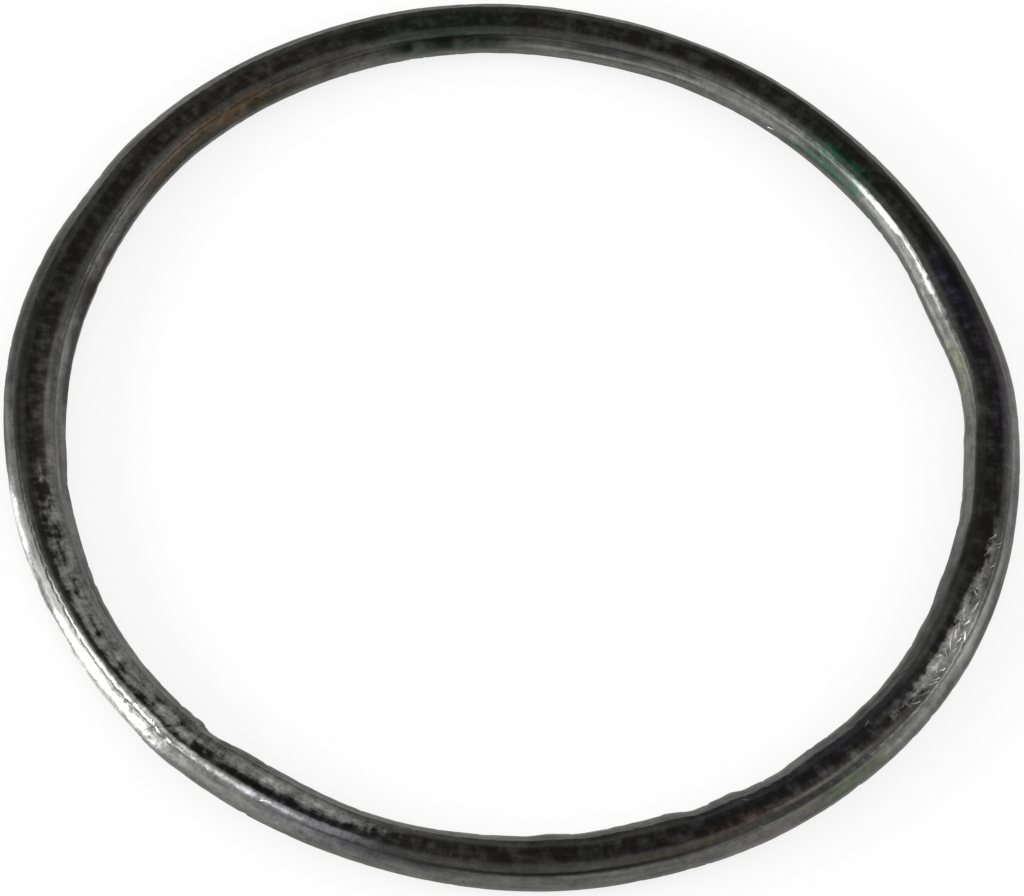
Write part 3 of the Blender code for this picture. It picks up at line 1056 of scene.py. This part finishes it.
class OBJECT_OT_gasket_ring(bpy.types.Operator):
    """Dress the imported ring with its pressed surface"""

    bl_idname = "object.gasket_ring"
    bl_label = "Dress Gasket Ring"

    def execute(self, context):
        surface = ring_surface(context.scene)
        low, high = surface.points.min(axis=(0, 1)), surface.points.max(axis=(0, 1))
        past = np.maximum(np.array(CAD_LOW) - low, high - np.array(CAD_HIGH))
        if past.max() > BOX_TOLERANCE:
            raise ValueError(f"The dressed ring {low} to {high} passes the packed one's box")
        mesh = mesh_from_grid("pressed_ring", surface)
        piece = added_piece("pressed_ring", mesh, pressed_finish(context.scene.gasket_finish))
        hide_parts(RING_NODE)
        return {"FINISHED"}


class OBJECT_OT_gasket_stitches(bpy.types.Operator):
    """Lay the stitches of wire that show through the graphite"""

    bl_idname = "object.gasket_stitches"
    bl_label = "Lay Surfaced Stitches"

    def execute(self, context):
        mesh = stitch_mesh("surfaced_stitches", ring_surface(context.scene))
        added_piece("surfaced_stitches", mesh, wire_finish(context.scene.gasket_finish))
        return {"FINISHED"}


class OBJECT_OT_gasket_stage(bpy.types.Operator):
    """Set the floor, the light and the camera"""

    bl_idname = "object.gasket_stage"
    bl_label = "Set Stage"

    def execute(self, context):
        stage = context.scene.gasket_stage
        add_floor(stage)
        add_sky(context.scene, stage)
        add_softbox("key_softbox", KEY_DIRECTION, KEY_SIZE, stage.key_power)
        add_softbox("fill_softbox", FILL_DIRECTION, FILL_SIZE, stage.fill_power)
        add_camera(context.scene, stage)
        context.scene.view_settings.view_transform = "Standard"
        return {"FINISHED"}


def seen_directly(finish):
    """One for rays from the camera and for those that polished or clear surfaces send on."""
    def kind(name):
        return finish.node("ShaderNodeLightPath", {}, {}, name)
    return kind("Is Camera Ray").most(kind("Is Glossy Ray")).most(kind("Is Transmission Ray"))


def add_floor(stage):
    material, finish = new_finish("pale_floor")
    place = finish.node("ShaderNodeTexCoord", {}, {}, "Object")
    uneven = finish.grain(place, per_metre=40.0) * FLOOR_UNEVENNESS
    colour = finish.blend(opaque(stage.floor_colour), (1.0, 1.0, 1.0, 1.0), uneven)
    matt = finish.node("ShaderNodeBsdfDiffuse", {}, {"Color": colour})
    white = finish.node("ShaderNodeEmission", {}, {"Strength": 1.0})
    whitened = seen_directly(finish) * FLOOR_WHITENESS
    shader = finish.node("ShaderNodeMixShader", {}, {"Fac": whitened, "Shader": matt, "Shader_001": white})
    finish.node("ShaderNodeOutputMaterial", {}, {"Surface": shader})
    mesh = bpy.data.meshes.new("floor")
    corners = [(x * FLOOR_REACH, y * FLOOR_REACH, CAD_LOW.z) for x, y in ((-1, -1), (1, -1), (1, 1), (-1, 1))]
    mesh.from_pydata(corners, [], [(0, 1, 2, 3)])
    mesh.materials.append(material)
    floor = linked("floor", mesh)


def add_sky(scene, stage):
    world = bpy.data.worlds.new("plain_sky")
    world.use_nodes = True
    scene.world = world
    finish = Finish(world.node_tree)
    strength = seen_directly(finish) * (1 - stage.sky_strength) + stage.sky_strength
    sky = finish.node("ShaderNodeBackground", {}, {"Color": (1.0, 1.0, 1.0, 1.0), "Strength": strength})
    finish.node("ShaderNodeOutputWorld", {}, {"Surface": sky})


def add_softbox(name, direction, size, power):
    """A soft rectangular lamp that faces the ring's centre."""
    lamp = bpy.data.lights.new(name, "AREA")
    lamp.shape = "RECTANGLE"
    lamp.size, lamp.size_y = size
    lamp.energy = power
    towards = Vector(direction).normalized()
    softbox = linked(name, lamp)
    softbox.location = towards * LAMP_DISTANCE
    softbox.rotation_euler = towards.to_track_quat("Z", "Y").to_euler()


def add_camera(scene, stage):
    """Looks down on the ring from the front, turned about its view as the photographer held it."""
    elevation = stage.camera_elevation
    back = Vector((0, -math.cos(elevation), math.sin(elevation)))
    level = Vector((1, 0, 0))
    upright = back.cross(level)
    right = level * math.cos(stage.camera_roll) + upright * math.sin(stage.camera_roll)
    up = upright * math.cos(stage.camera_roll) - level * math.sin(stage.camera_roll)
    data = bpy.data.cameras.new("camera")
    data.sensor_width = SENSOR_WIDTH
    data.lens = stage.lens
    data.clip_start = CLIP_START
    data.shift_x = -RING_RIGHT_PIXELS / PICTURE_WIDTH
    data.shift_y = -RING_UP_PIXELS / PICTURE_WIDTH
    camera = linked("camera", data)
    middle = Vector((0, 0, (CAD_LOW.z + CAD_HIGH.z) / 2))
    turned = Matrix((right, up, back)).transposed().to_4x4()
    camera.matrix_world = Matrix.Translation(middle + back * stage.camera_distance) @ turned
    scene.camera = camera


class VIEW3D_PT_gasket(bpy.types.Panel):
    """Sizes, finish and steps of the gasket"""

    bl_label = "Exhaust Gasket"
    bl_space_type = "VIEW_3D"
    bl_region_type = "UI"
    bl_category = "Gasket"

    def draw(self, context):
        for group_name in GROUPS:
            group = getattr(context.scene, group_name)
            box = self.layout.box()
            box.label(text=group_name.replace("_", " ").title())
            for name in group.bl_rna.properties.keys():
                if name not in ("rna_type", "name"):
                    box.prop(group, name)
        for operator in OPERATORS:
            self.layout.operator(operator.bl_idname)


OPERATORS = (OBJECT_OT_gasket_ring, OBJECT_OT_gasket_stitches, OBJECT_OT_gasket_stage)
GROUPS = {"gasket_form": GasketForm, "pressed_surface": PressedSurface, "gasket_finish": GasketFinish,
          "gasket_stage": GasketStage}


def register():
    for made in (*GROUPS.values(), *OPERATORS, VIEW3D_PT_gasket):
        bpy.utils.register_class(made)
    for name, group in GROUPS.items():
        setattr(bpy.types.Scene, name, PointerProperty(type=group))


def unregister():
    for name in GROUPS:
        delattr(bpy.types.Scene, name)
    for made in (VIEW3D_PT_gasket, *OPERATORS, *GROUPS.values()):
        bpy.utils.unregister_class(made)


def main():
    register()
    bpy.ops.object.gasket_ring()
    bpy.ops.object.gasket_stitches()
    bpy.ops.object.gasket_stage()


if __name__ == "__main__":
    main()
